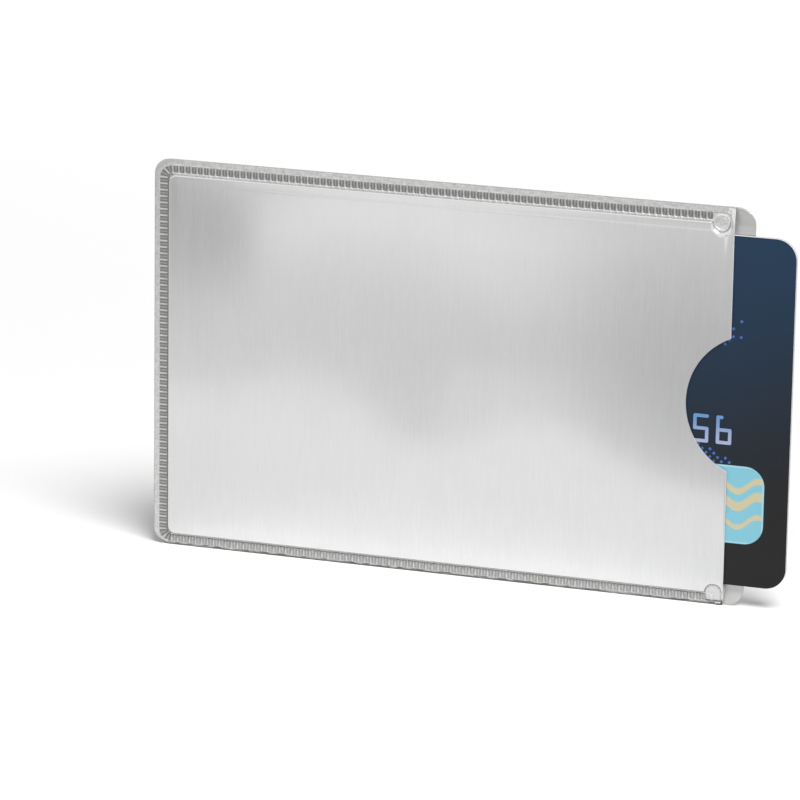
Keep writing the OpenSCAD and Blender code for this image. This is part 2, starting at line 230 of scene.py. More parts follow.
def stand_up(piece, front):
    """Stands a flat piece up in the frame, as part of the front sheet or of the back one."""
    take(piece)
    if front:
        turn = Matrix.Rotation(math.radians(90), 4, "X")
    else:
        turn = Matrix(((1, 0, 0, 0), (0, 0, 1, 0), (0, 1, 0, 0), (0, 0, 0, 1)))
    piece.data.transform(Matrix.Translation((CLOSED_END * MM, 0, 0)) @ turn)
    if not front:
        with editing(piece):
            bpy.ops.mesh.select_all(action="SELECT")
            bpy.ops.mesh.flip_normals()


def shade(piece):
    take(piece)
    bpy.ops.object.shade_smooth_by_angle(angle=math.radians(SMOOTH_ANGLE))


def paint(mesh, look):
    mesh.materials.clear()
    mesh.materials.append(look)


def dress(piece, look, body, slot, *nodes):
    """Gives a finished piece its material and its place in the frame."""
    paint(piece.data, look)
    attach(piece, body)
    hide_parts(*nodes)


# Camera at the photograph's viewing angle

AZIMUTH = 18.4
ELEVATION = 14.75
ROLL = math.radians(0.896)
DISTANCE = 0.756
AIM = Vector((-0.00735, 0, 0.02696))
# The focal length over the sensor's width
FOCAL_SHARE = 4935 / 800


def way_from(azimuth, elevation):
    """Direction from the sleeve, in degrees to the right of its front and up."""
    azimuth, elevation = math.radians(azimuth), math.radians(elevation)
    return Vector((math.sin(azimuth) * math.cos(elevation), -math.cos(azimuth) * math.cos(elevation),
                   math.sin(elevation)))


bpy.ops.object.camera_add()
camera = bpy.context.object
camera.name = "camera"
back = way_from(AZIMUTH, ELEVATION)
level_right = way_from(AZIMUTH + 90, 0)
level_up = back.cross(level_right)
right = level_right * math.cos(ROLL) + level_up * math.sin(ROLL)
up = level_up * math.cos(ROLL) - level_right * math.sin(ROLL)
turn = Matrix((right, up, back)).transposed().to_4x4()
camera.matrix_world = Matrix.Translation(AIM + back * DISTANCE) @ turn
camera.data.sensor_width = 36
camera.data.lens = FOCAL_SHARE * camera.data.sensor_width
bpy.context.scene.camera = camera


# Knurled seam: one knurl is modelled, with the rim below it and the joint with the panel above it, then
# repeated, and the row is laid round the sleeve

TILE_ACROSS = [0, 0.06, 0.17, 0.33, 0.5, 0.67, 0.83, 0.94, 1]
TILE_UP = [-1.5, -1.44, -1.25, -1.0, -0.75, -0.6, -0.5, -0.42, 0.49, 0.56, 0.62, 0.7, 1.2]
END_ACROSS = [0, 0.25, 0.5, 0.75, 1, 1.25, 1.5, 1.75, 2, 2.2, 2.3]
# Spans that hold the lines of each part of a tile: X along the seam, Y up from the band's middle
RIM_EDGE_Y = (-1.51, -1.49)
RIM_MIDDLE_Y = (-1.01, -0.99)
BEAD_OFF_Y = (0.59, 0.63)
JOINT_FROM_Y = 0.69
TUCK_FROM_Y = 1.19
SCALLOP_X = (0.1, 0.9)
HIGH_SCALLOP_Y = (0.48, 0.63)
LOW_SCALLOP_Y = (-0.61, -0.49)
CELL_Y = (-0.45, 0.54)
RIDGE_X = (0.4, 0.6)
BETWEEN_RIBS_X = (0.07, 0.93)
RIB_ENDS_Y = ((-0.51, -0.49), (0.55, 0.57))
PLAIN_HALF_Y = 0.5
PRESSED_Y = (-0.55, 0.58)
PRESSED_BEAD_Y = (0.6, 0.65)
CREASE_Y = (0.6, 0.75)
RIM_Y = (-1.4, -0.65)
# Heights and depths of its relief
RIM_EDGE_DROP = 0.1
RIM_SWELL = 0.02
BEAD_RISE = 0.035
JOINT_DROP = 0.03
TUCK_DROP = 0.08
CELL_SWAY = 0.03
CELL_DEPTH = 0.09
CELL_RIDGE = 0.05
RIB_PEAK = 0.02
PLAIN_DEPTH = 0.07
CORNER_X = RIM_END + KNURL_R
HIGH_CORNER_Y = SLEEVE_H - RIM_TOP - KNURL_R
LOW_CORNER_Y = RIM_BOTTOM + KNURL_R
KNURL_W_END = 1.08

# How strongly the parts of a knurl are pressed and painted darker: partly the dull melted film, partly
# painted shade, darkest in the sunken cells
PRESSED_CELL = 1.0
PRESSED_RIDGE = 0.55
PRESSED_RIB = 0.15
PRESSED_BEAD = 0.35
PRESSED_PLAIN = 0.8
# Along the long side that stands on the floor the seam's darkening is weaker
SEAM_DARKENING_BELOW = 0.7

# The seam's waves and its ragged rim: how strong, and how many to the millimetre
RIM_SHAKE = 0.05
BAND_SHAKE = 0.015
WAVES_ALONG = 0.9
WAVES_ACROSS = 1.6
RIM_INSET = 0.1
RIM_RAGGED = 0.07
RAGS_ALONG = 0.7
# How deep the seam goes under a weld spot, from this far inside the spot
UNDER_SPOT = 0.16
SPOT_MARGIN = 0.12

# The search for the outline: how far out it looks, and how often it halves the way
FARTHEST_OUTLINE = 4.0
HALVINGS = 24


def outline_reach(x, y, way, corners, inset):
    """Distance from a point, in a direction, to the sheet's outline. Each corner is a pair of radii."""
    upper, lower = corners

    def inside(px, py):
        for (rx, ry), cy, side in ((upper, SLEEVE_H - upper[1], 1), (lower, lower[1], -1)):
            if px < rx and (py - cy) * side > 0:
                return ((px - rx) / (rx - inset)) ** 2 + ((py - cy) / (ry - inset)) ** 2 < 1
        return px > inset and inset < py < SLEEVE_H - inset

    near, far = 0.0, FARTHEST_OUTLINE
    for _ in range(HALVINGS):
        middle = (near + far) / 2
        if inside(x + way[0] * middle, y + way[1] * middle):
            near = middle
        else:
            far = middle
    return near


def seam_place(along, across, corners, inset):
    """Place on the flat sheet of a point of the seam: along in knurls from the top of the mouth round to
    its bottom, across in millimetres from the middle of the knurled band towards the panel. The rim stops
    short of the outline by the inset."""
    first = KNURLS_LONG
    second = first + KNURLS_CORNER
    third = second + KNURLS_SHORT
    fourth = third + KNURLS_CORNER
    inner_r = KNURL_R - KNURL_W
    if along <= first:
        x, y, way = CORNER_X + (first - along) * KNURL_PITCH, HIGH_CORNER_Y + inner_r, (0, 1)
    elif along >= fourth:
        x, y, way = CORNER_X + (along - fourth) * KNURL_PITCH, LOW_CORNER_Y - inner_r, (0, -1)
    elif second <= along <= third:
        share = (along - second) / KNURLS_SHORT
        x, y, way = CORNER_X - inner_r, HIGH_CORNER_Y + (LOW_CORNER_Y - HIGH_CORNER_Y) * share, (-1, 0)
    else:
        start, base, middle_y = (first, 90, HIGH_CORNER_Y) if along < second else (third, 180, LOW_CORNER_Y)
        angle = math.radians(base + (along - start) / KNURLS_CORNER * 90)
        way = (math.cos(angle), math.sin(angle))
        x, y = CORNER_X + way[0] * inner_r, middle_y + way[1] * inner_r
    width = KNURL_W + (KNURL_W_END - KNURL_W) * smooth(-way[0])
    half = KNURL_W / 2
    reach = (half - max(across, -half)) * width / KNURL_W if across < half else half - across
    if across < -half:
        edge_x, edge_y = x + way[0] * width, y + way[1] * width
        reach += (-half - across) * outline_reach(edge_x, edge_y, way, corners, inset)
    return x + way[0] * reach, y + way[1] * reach


def in_cell(p):
    return within(p.x, SCALLOP_X) and within(p.y, CELL_Y)


def on_rib(x):
    return not within(x, BETWEEN_RIBS_X)


def pressed_share(x, y, with_cells):
    """How strongly the film is pressed and painted darker at a place in the tile: partly dull melted film,
    partly painted shade in its hollows.
    """
    if within(y, PRESSED_BEAD_Y):
        return PRESSED_BEAD
    if not within(y, PRESSED_Y):
        return 0.0
    if not with_cells:
        return PRESSED_PLAIN
    if on_rib(x):
        return PRESSED_RIB
    return PRESSED_RIDGE if within(x, RIDGE_X) else PRESSED_CELL


def shape_seam(row, with_cells):
    """Embosses one stretch of the seam, lying along X."""
    with editing(row):
        # Rim: low at its edge, swollen in its middle
        move_vertices(row, (0, 0, -RIM_EDGE_DROP), lambda p: within(p.y, RIM_EDGE_Y))
        move_vertices(row, (0, 0, RIM_SWELL), lambda p: within(p.y, RIM_MIDDLE_Y))
        # A bead along each side of the band, scalloped round the cells
        move_vertices(row, (0, 0, BEAD_RISE), lambda p: within(abs(p.y), BEAD_OFF_Y))
        move_vertices(row, (0, 0, -JOINT_DROP), lambda p: p.y > JOINT_FROM_Y)
        move_vertices(row, (0, 0, -TUCK_DROP), lambda p: p.y > TUCK_FROM_Y)
        if with_cells:
            for span, sway in ((HIGH_SCALLOP_Y, CELL_SWAY), (LOW_SCALLOP_Y, -CELL_SWAY)):
                move_vertices(row, (0, sway, 0), lambda p: within(p.x, SCALLOP_X) and within(p.y, span))
            # The pressed cell, with a low ridge down its middle
            move_vertices(row, (0, 0, -CELL_DEPTH), in_cell)
            move_vertices(row, (0, 0, CELL_RIDGE), lambda p: in_cell(p) and within(p.x, RIDGE_X))
            # The rib between two cells, with a small peak at each end
            move_vertices(row, (0, 0, RIB_PEAK), lambda p: (
                on_rib(p.x) and any(within(p.y, span) for span in RIB_ENDS_Y)))
        else:
            move_vertices(row, (0, 0, -PLAIN_DEPTH), lambda p: abs(p.y) < PLAIN_HALF_Y)
    # Where the film is pressed and painted darker: dull melted film, and painted shade in the cells and
    # crease
    pressed = row.data.attributes.new("pressed", "FLOAT", "POINT")
    seam = row.data.attributes.new("seam", "FLOAT", "POINT")
    for v in row.data.vertices:
        pressed.data[v.index].value = pressed_share(v.co.x / MM, v.co.y / MM, with_cells)
        seam.data[v.index].value = 1.0


def knurl_row(name, corners, ragged):
    """The embossed seam of one sheet, as a film of its own thickness, with a ragged rim or an even one."""
    row = grid(name, TILE_ACROSS, TILE_UP)
    shape_seam(row, True)
    array = row.modifiers.new("array", "ARRAY")
    array.count = KNURLS
    array.use_merge_vertices = True
    array.merge_threshold = MERGE_DISTANCE
    apply_modifiers(row)
    ends = []
    for start in (-END_ACROSS[-1], KNURLS):
        end = grid(name + "_end", END_ACROSS, TILE_UP)
        shape_seam(end, False)
        end.data.transform(Matrix.Translation((start * MM, 0, 0)))
        ends.append(end)
    row = join([row] + ends, name)
    pressed = row.data.attributes["pressed"].data
    for v in row.data.vertices:
        along, across = v.co.x / MM, v.co.y / MM
        if along > KNURLS - KNURLS_LONG:
            pressed[v.index].value *= SEAM_DARKENING_BELOW
        # Painted shadow: at the closed end the crease beside the panel lies in the shade of the panel's
        # raised edge and is painted dark
        if KNURLS_LONG < along < KNURLS - KNURLS_LONG and within(across, CREASE_Y):
            pressed[v.index].value = 1.0
        # No two knurls of a welded film come out alike, and its rim is wavy
        wave = noise.noise(Vector((along * WAVES_ALONG, across * WAVES_ACROSS, 3)))
        shake = (RIM_SHAKE if within(across, RIM_Y) else BAND_SHAKE) * wave
        inset = RIM_INSET + RIM_RAGGED * noise.noise(Vector((along * RAGS_ALONG, 4, 8))) if ragged else 0.0
        x, y = seam_place(along, across, corners, inset)
        under = UNDER_SPOT if min(arch_distance(spot, x, y) for spot in SPOTS) < -SPOT_MARGIN else 0.0
        v.co = (x * MM, y * MM, v.co.z + (SHEET_T + shake - under) * MM)
    thicken(row, SEAM_STRIP_T)
    return row


# Film: its outer face as a height over the flat sheet

# A sharp lip: distance in from the panel's foot, and height
LIP_END = 0.45
LIP_POINTS = ((0, -0.08), (0.03, 0.14), (0.08, 0.27), (0.15, 0.33), (0.25, LIP_RISE), (LIP_END, LIP_RISE))
# Past the lip the film eases to its flat height, then swells to its height over the card
SHOULDER_W = 1.3
SWELL_FROM = 1.2
SWELL_W = 2
# It climbs on to the card between a little past the foot and a little past the card's end
CLIMB_FROM = 1
CLIMB_PAST = 2
# The taller lip of the empty end runs out from this far before the card, over this much
HIGH_LIP_BEFORE = 3
HIGH_LIP_FADE = 7
# Past the end of the seam the film opens to the mouth
OPEN_FROM = 1.6
OPEN_FADE = 0.7
OPEN_EDGE = 0.8
OPEN_W = 3.8
# Within its reach a weld spot draws the film down: distance from the spot's edge, and height
SPOT_POINTS = ((-0.3, -0.16), (-0.02, -0.1), (0.07, 0.08), (0.15, 0.23), (0.25, 0.34), (0.4, 0.43),
               (0.7, 0.52))
SPOT_REACH = 0.9
SPOT_BLEND = 0.06
ROUNDING = 1e-6


def soft_least(a, b, blend):
    """The lesser of two heights, rounded where they meet."""
    share = clamp(0.5 + 0.5 * (b - a) / blend)
    return b + (a - b) * share - blend * share * (1 - share)


def along_points(points, d):
    if d <= points[0][0]:
        return points[0][1]
    for (d0, h0), (d1, h1) in zip(points, points[1:]):
        if d < d1:
            return h0 + (h1 - h0) * (d - d0) / (d1 - d0)
    return points[-1][1]


def card_level(x):
    """The film lies lower where no card is under it, between the closed end and the card."""
    climb = smooth((x - FOOT_END - CLIMB_FROM) / (CARD_LEFT + CLIMB_PAST - FOOT_END))
    return FLAT_RISE + (CARD_RISE - FLAT_RISE) * climb


def panel_profile(edge, level, lip):
    """Height over the seam at a distance from the panel's foot: a sharp lip, then an easy rise."""
    if edge <= LIP_END:
        return along_points(LIP_POINTS, edge) * lip / LIP_RISE
    rise = lip + (FLAT_RISE - lip) * smooth((edge - LIP_END) / SHOULDER_W)
    return rise + (level - FLAT_RISE) * (1 - math.exp(-max(0.0, edge - SWELL_FROM) / SWELL_W))


def arch_distance(spot, x, y):
    """Distance of a point from the edge of a weld spot's arch, less than nothing inside it."""
    cx, cy, r, base = spot
    side = 1 if base > cy else -1
    if (y - cy) * side <= 0:
        return math.hypot(x - cx, y - cy) - r
    beside, above = abs(x - cx) - r, (y - base) * side
    if beside < 0 or above < 0:
        return max(beside, above)
    return math.hypot(beside, above)


# Slack film stands off the card in a few broad bulges: place, widths to the left, to the right,
# downwards and upwards, and height
BULGES = ((20, 46, 11, 14, 14, 12, 0.1), (57, 35, 13, 16, 10, 20, 0.26), (48, 38, 2.5, 8, 10, 20, 0.1))
# Its waves: height, widths along and up, and a place in the noise
WAVES = ((0.012, 24, 20, 0.4), (0.006, 10, 14, 5.2))
DEEPEST_SAG = -0.05
# The welds hold it over these widths: at the closed end, along the long sides and at the mouth
HELD_END = 8
HELD_LONG = 7
HELD_MOUTH = 9


def sag(x, y):
    """Broad, shallow bulges and waves of a film that is free between its welds."""
    total = sum(lift * noise.noise(Vector((x / width, y / height, place)))
                for lift, width, height, place in WAVES)
    for cx, cy, left, right, low, high, lift in BULGES:
        width = left if x < cx else right
        height = low if y < cy else high
        total += lift * math.exp(-((x - cx) / width) ** 2 - ((y - cy) / height) ** 2)
    free = smooth((x - FOOT_END) / HELD_END)
    free *= smooth((y - FOOT_BOTTOM) / HELD_LONG) * smooth((FOOT_TOP - y) / HELD_LONG)
    return total * free * (1 - smooth((x - FRONT_L + HELD_MOUTH) / HELD_MOUTH))


def film_height(x, y):
    """Outer face of the film over the seam's face."""
    level = card_level(x)
    edge = min(x - FOOT_END, y - FOOT_BOTTOM, FOOT_TOP - y)
    # The empty end of the pocket is pressed flat, with a taller lip
    fading = smooth((x - CARD_LEFT + HIGH_LIP_BEFORE) / HIGH_LIP_FADE)
    lip = HIGH_LIP_RISE + (LIP_RISE - HIGH_LIP_RISE) * fading
    height = panel_profile(edge, level, lip) if edge >= -ROUNDING else 0.0
    # Past the end of the seam the film leaves the edge without a lip
    open_end = smooth((x - (FRONT_L - OPEN_FROM)) / OPEN_FADE)
    opening = level * smooth((min(y, SLEEVE_H - y) + OPEN_EDGE) / OPEN_W)
    height += (opening - height) * open_end
    height += max(sag(x, y), DEEPEST_SAG) if edge > 0 else 0.0
    for spot in SPOTS:
        off = arch_distance(spot, x, y)
        if off < SPOT_REACH:
            height = soft_least(height, along_points(SPOT_POINTS, off), SPOT_BLEND)
    return height


def round_corner(x, y, cx, cy, sx, sy):
    """Draws the square corner beyond an arc's centre in, on to quarter circles."""
    a, b = (x - cx) * sx, (y - cy) * sy
    if a <= 0 or b <= 0:
        return x, y
    r = max(a, b)
    turn = math.pi / 4 * min(a, b) / r
    angle = turn if a >= b else math.pi / 2 - turn
    return cx + sx * r * math.cos(angle), cy + sy * r * math.sin(angle)


# Grid lines of the film, in from the panel's foot and in from the long edges
FOOT_LINES = (0, 0.03, 0.08, 0.15, 0.25, 0.35, LIP_END,
              0.6, 0.8, 1.0, 1.25, 1.5, 1.75, 2.1, 2.6, 3.2, 4, 5, 6.2)
LOW_EDGE_LINES = (0.3, 0.5, 0.8, 1.15, 1.5)
HIGH_EDGE_LINES = (0.3, 0.6, 1, 1.3, 1.6, 2)
# Broad steps over the panel, from this far inside its foot to this far before the mouth
PANEL_STEP = 1.25
PANEL_INSET = 7.4
PANEL_STOP = 4.3
# Fine steps over the weld spots: along from this far before the mouth, up between two insets
SPOT_STEP_X = 0.125
SPOT_START = 3.75
SPOT_STEP_Y = 0.12
HIGH_SPOT_INSETS = (1.8, 0.45)
LOW_SPOT_INSETS = (0.45, 1.4)
TAB_STEP = 0.29
# The cut edge at the mouth: its strip of the grid, how far it turns over, and within what width
CUT_STRIP = 0.1
CUT_TURN = 0.05
CUT_TURN_W = 0.25
# The film reaches this far under a weld spot
UNDER_ARCH = 0.25
# Grid lines closer than this are one
LEAST_GAP = 0.02


def steps(start, stop, step):
    count = max(1, round((stop - start) / step))
    return [start + (stop - start) * i / count for i in range(count + 1)]


def merged(*rows):
    """One rising row of lines, without two at the same place."""
    out = []
    for value in sorted(v for row in rows for v in row):
        if not out or value - out[-1] > LEAST_GAP:
            out.append(value)
    return out


def film(name, length, start, outer_drop, thickness, corner_r, trim):
    """One layer of a sheet, from a distance inside the panel's foot, as a closed film. Where it reaches
    the long edges, past the seam's end, it stops short of them by the trim."""
    inset = [d for d in FOOT_LINES if d >= start]
    across = merged([FOOT_END + d for d in inset],
                    steps(FOOT_END + PANEL_INSET, FRONT_L - PANEL_STOP, PANEL_STEP),
                    steps(FRONT_L - SPOT_START, FRONT_L, SPOT_STEP_X),
                    steps(FRONT_L, length, TAB_STEP) if length > FRONT_L else [],
                    [length - CUT_STRIP, length])
    upwards = merged([trim, *LOW_EDGE_LINES],
                     [FOOT_BOTTOM + d for d in inset],
                     steps(*[FOOT_BOTTOM + d for d in LOW_SPOT_INSETS], SPOT_STEP_Y),
                     steps(FOOT_BOTTOM + PANEL_INSET, FOOT_TOP - PANEL_INSET, PANEL_STEP),
                     steps(*[FOOT_TOP - d for d in HIGH_SPOT_INSETS], SPOT_STEP_Y),
                     [FOOT_TOP - d for d in inset],
                     [SLEEVE_H - d for d in (trim, *HIGH_EDGE_LINES)])
    piece = grid(name, across, upwards)
    seam_end = FRONT_L - SEAM_STOP
    with editing(piece):
        select_faces(piece, lambda p: (
            (p.x < seam_end and not FOOT_BOTTOM + start < p.y < FOOT_TOP - start)
            or any(arch_distance(spot, p.x, p.y) < -UNDER_ARCH for spot in SPOTS)))
        bpy.ops.mesh.delete(type="FACE")
    foot_r = FOOT_R - start
    for v in piece.data.vertices:
        x, y = v.co.x / MM, v.co.y / MM
        height = film_height(x, y)
        for cy, sy in ((FOOT_BOTTOM + FOOT_R, -1), (FOOT_TOP - FOOT_R, 1)):
            if x < FOOT_END + FOOT_R and foot_r > 0:
                x, y = round_corner(x, y, FOOT_END + FOOT_R, cy, -1, sy)
        for cy, sy in ((corner_r, -1), (SLEEVE_H - corner_r, 1)):
            x, y = round_corner(x, y, length - corner_r, cy, 1, sy)
        # The cover's cut edge at the mouth is turned over a little and shows pale
        turned = CUT_TURN * smooth(1 - (length - v.co.x / MM) / CUT_TURN_W) if not start else 0.0
        v.co = (x * MM, y * MM, (SHEET_T + height - turned - outer_drop) * MM)
    thicken(piece, thickness)
    return piece


# How near a point of a cut edge lies to it, and how little a wall's normal rises
ON_EDGE = 0.01
WALL_RISE = 0.5


def mark_cut_edges(piece, length):
    """Marks the film's cut edges at the mouth and round the notch, for its material."""
    mesh = piece.data
    cut = mesh.attributes.new("cut", "FLOAT", "CORNER")
    for face in mesh.polygons:
        wall = abs(face.normal.z) < WALL_RISE
        for corner in face.loop_indices:
            place = mesh.vertices[mesh.loops[corner].vertex_index].co / MM
            at_notch = abs(math.hypot(place.x - NOTCH_X, place.y - NOTCH_Y) - NOTCH_R) < ON_EDGE
            cut.data[corner].value = 1.0 if place.x > length - ON_EDGE or wall and at_notch else 0.0


CUTTER_SIDES = 256
CUTTER_DEPTH = 4


def cut_notch(piece):
    """Cuts the thumb notch out of a layer of the front sheet."""
    deselect_all()
    bpy.ops.mesh.primitive_cylinder_add(vertices=CUTTER_SIDES, radius=NOTCH_R * MM, depth=CUTTER_DEPTH * MM,
                                        location=(NOTCH_X * MM, NOTCH_Y * MM, 0))
    cutter = bpy.context.object
    cut = piece.modifiers.new("notch", "BOOLEAN")
    cut.operation = "DIFFERENCE"
    cut.solver = "EXACT"
    cut.object = cutter
    apply_modifiers(piece)
    bpy.data.objects.remove(cutter)


# Weld spots: a dished arch on each side of the sleeve

SPOT_LINES = [0, 0.06, 0.13, 0.22, 0.32, 0.45, 0.58, 0.72, 0.86, 1]
SPOT_LEG_STEP = 0.16
# Crinkles: share, how fine, and a place in the noise. They rise over this width from the arch's edge.
CRINKLES = ((1, 2.6, 2), (0.7, 6, 4))
CRINKLE_EDGE = 0.3


def weld_spot(name, spot, face, grain):
    """An arch whose round end is turned to the panel. Face gives its height from a place in the arch."""
    cx, cy, r, base = spot
    side = 1 if base > cy else -1
    left = [cx - r + r * t for t in SPOT_LINES]
    far = steps(cy, base, SPOT_LEG_STEP * side)[1:]
    lines = [cy - side * r + side * r * t for t in SPOT_LINES] + far
    piece = grid(name, left + [2 * cx - x for x in reversed(left[:-1])], sorted(lines))
    for v in piece.data.vertices:
        x, y = v.co.x / MM, v.co.y / MM
        for sx in (-1, 1):
            x, y = round_corner(x, y, cx, cy, sx, -side)
        bumps = sum(share * noise.noise(Vector((x * fine, y * fine, place)))
                    for share, fine, place in CRINKLES)
        inside = smooth(-arch_distance(spot, x, y) / CRINKLE_EDGE)
        v.co = (x * MM, y * MM, (SHEET_T + face(spot, x, y) + grain * bumps * inside) * MM)
    with editing(piece):
        bpy.ops.mesh.select_all(action="SELECT")
        bpy.ops.mesh.region_to_loop()
        bpy.ops.mesh.extrude_region_move()
    for v in piece.data.vertices:
        if v.select:
            v.co.z = 0
    mirror = piece.modifiers.new("mirror", "MIRROR")
    mirror.use_axis = (False, False, True)
    mirror.merge_threshold = MERGE_DISTANCE
    apply_modifiers(piece)
    with editing(piece):
        turn_outwards()
    return piece


# Distance past the cup's circle, or in from the arch's edge, and height
TOP_CUP = ((-2, -0.06), (-0.75, -0.06), (-0.45, -0.03), (-0.25, 0.08), (-0.12, 0.12), (0, 0.04),
           (0.15, -0.03))
BOTTOM_CREASE = ((0, -0.03), (0.08, 0.03), (0.2, 0.05), (0.6, 0.04), (2, 0.03))


def top_face(spot, x, y):
    """A round cup, with a plain pressed patch between it and the rim."""
    return along_points(TOP_CUP, math.hypot(x - spot[0], y - spot[1]) - spot[2])


def bottom_face(spot, x, y):
    """A flat pad, creased along its edge."""
    return along_points(BOTTOM_CREASE, -arch_distance(spot, x, y))


# Materials

def feed(tree, target, value):
    """Gives an input a plain value, or links it to an output or to a node's first output."""
    if isinstance(value, bpy.types.Node):
        value = value.outputs[0]
    if isinstance(value, bpy.types.NodeSocket):
        tree.links.new(value, target)
    else:
        target.default_value = value


def add_node(tree, kind, *values, operation=None, **named):
    """A new node, with its inputs fed in their order, or by their names."""
    node = tree.nodes.new("ShaderNode" + kind)
    if operation:
        node.operation = operation
    for target, value in zip(node.inputs, values):
        feed(tree, target, value)
    for label, value in named.items():
        feed(tree, node.inputs[label], value)
    return node


def calc(tree, operation, *values):
    return add_node(tree, "Math", *values, operation=operation).outputs[0]


def times(tree, first, *others):
    for value in others:
        first = calc(tree, "MULTIPLY", first, value)
    return first


def ramp(tree, value, low, high, out_low=0.0, out_high=1.0):
    """A soft step between two numbers, level past both."""
    node = add_node(tree, "MapRange", value, low, high, out_low, out_high)
    node.interpolation_type = "SMOOTHSTEP"
    return node.outputs["Result"]


NOISE_RANGE = (0.3, 0.7)


def noise_step(tree, value, out_low=0.0, out_high=1.0):
    """A soft step over the usual range of a noise."""
    return ramp(tree, value, *NOISE_RANGE, out_low, out_high)


def line_value(tree, value, points):
    """The height of a broken line at a value, level past its ends."""
    height = points[0][1]
    for (start, low), (stop, high) in zip(points, points[1:]):
        height = calc(tree, "ADD", ramp(tree, value, start, stop, 0.0, high - low), height)
    return height


def mix(tree, share, a, b, blend="MIX"):
    node = tree.nodes.new("ShaderNodeMix")
    node.data_type = "RGBA"
    node.blend_type = blend
    feed(tree, node.inputs[0], share)
    feed(tree, node.inputs[6], a)
    feed(tree, node.inputs[7], b)
    return node.outputs[2]


def object_place(tree, scale=(1, 1, 1)):
    """Object coordinates in millimetres, scaled."""
    place = add_node(tree, "TexCoord").outputs["Object"]
    return add_node(tree, "Mapping", Vector=place, Scale=[s / MM for s in scale]).outputs["Vector"]


def split(tree, vector):
    """The X, Y and Z of a vector."""
    return tuple(add_node(tree, "SeparateXYZ", vector).outputs)


def noise_value(tree, vector, scale, detail=2.0, roughness=0.5):
    node = add_node(tree, "TexNoise", Vector=vector, Scale=scale, Detail=detail, Roughness=roughness)
    return node.outputs["Fac"]


def srgb(r, g, b):
    """A colour given as it looks, out of 255."""
    def linear(c):
        c /= 255
        return c / 12.92 if c <= 0.04045 else ((c + 0.055) / 1.055) ** 2.4
    return (linear(r), linear(g), linear(b), 1.0)


def effect_group(name, label, default):
    """A node group with one value to set, which puts out a mask and a height."""
    tree = bpy.data.node_groups.new(name, "ShaderNodeTree")
    value = tree.interface.new_socket(label, in_out="INPUT", socket_type="NodeSocketFloat")
    value.default_value = default
    for result in ("Mask", "Height"):
        tree.interface.new_socket(result, in_out="OUTPUT", socket_type="NodeSocketFloat")
    return tree, tree.nodes.new("NodeGroupInput").outputs, tree.nodes.new("NodeGroupOutput").inputs


# Streaks to the millimetre, across, through and up the sleeve
FINE_STREAKS = (9, 9, 0.3)
BROAD_STREAKS = (1.1, 1.1, 0.05)
BROAD_SHARE = 0.2
# The grain's clouds to the millimetre
CLOUDS = 0.12


def brushed_group():
    """Fine streaks along the film's height: a mask round a half, and a height."""
    tree, given, out = effect_group("brushed_film", "Contrast", 1.0)
    fine = noise_value(tree, object_place(tree, FINE_STREAKS), 1.0, 3.0, 0.6)
    broad = noise_value(tree, object_place(tree, BROAD_STREAKS), 1.0, 2.0)
    both = calc(tree, "MULTIPLY_ADD", broad, BROAD_SHARE, times(tree, fine, 1 - BROAD_SHARE))
    spread = calc(tree, "MULTIPLY_ADD", calc(tree, "SUBTRACT", both, 0.5), given["Contrast"], 0.5)
    feed(tree, out["Mask"], spread)
    feed(tree, out["Height"], fine)
    return tree


def grain_group():
    """Fine grain of a moulded or printed plastic: a mask and a height."""
    tree, given, out = effect_group("plastic_grain", "Size", 0.2)
    place = object_place(tree)
    grains = calc(tree, "DIVIDE", 1.0, given["Size"])
    shrink = add_node(tree, "VectorMath", place, operation="SCALE", Scale=grains)
    fine = noise_value(tree, shrink, 1.0, 2.0)
    broad = noise_value(tree, place, CLOUDS, 2.0)
    feed(tree, out["Mask"], broad)
    feed(tree, out["Height"], fine)
    return tree


BRUSHED = brushed_group()
GRAIN = grain_group()


def use_group(tree, group, **values):
    node = tree.nodes.new("ShaderNodeGroup")
    node.node_tree = group
    for label, value in values.items():
        node.inputs[label].default_value = value
    return node.outputs


def material(name, metallic=0.0, roughness=0.5, specular=0.5):
    made = bpy.data.materials.new(name)
    made.use_nodes = True
    shader = made.node_tree.nodes["Principled BSDF"]
    shader.inputs["Metallic"].default_value = metallic
    shader.inputs["Roughness"].default_value = roughness
    shader.inputs["Specular IOR Level"].default_value = specular
    return made, made.node_tree, shader.inputs


def bump(tree, height, distance):
    return add_node(tree, "Bump", Distance=distance * MM, Height=height)


def grained(tree, inputs, size, depth):
    """Gives a surface a fine grain, and hands back the grain's outputs."""
    grain = use_group(tree, GRAIN, Size=size)
    feed(tree, inputs["Normal"], bump(tree, grain["Height"], depth))
    return grain


ROUGHNESS_SWING = 0.05


def plain_plastic(name, colour, roughness, spread, size=0.2, depth=0.004, metallic=0.0):
    """A matt or satin plastic with a faint grain and an uneven tone."""
    made, tree, inputs = material(name, metallic=metallic, roughness=roughness)
    grain = grained(tree, inputs, size, depth)
    tone = noise_step(tree, grain["Mask"], 1 - spread, 1.0)
    feed(tree, inputs["Base Color"], mix(tree, 1.0, colour, tone, "MULTIPLY"))
    feed(tree, inputs["Roughness"],
         noise_step(tree, grain["Mask"], roughness - ROUGHNESS_SWING, roughness + ROUGHNESS_SWING))
    return made


def attribute(tree, name):
    node = add_node(tree, "Attribute")
    node.attribute_name = name
    return node.outputs["Fac"]


FILM_GRAIN = 0.45
CLOUD_SHARE = 0.3
CLOUD_RANGE = (0.2, 0.8)
FILM_ROUGHNESS = (0.125, 0.145)
FILM_BUMP = 0.0007
# What melting adds to the film's roughness and, times its grain, to its bump
MELTED_ROUGHNESS = 0.2
MELTED_GRAIN = 17.0
CUT_METALLIC = 0.3


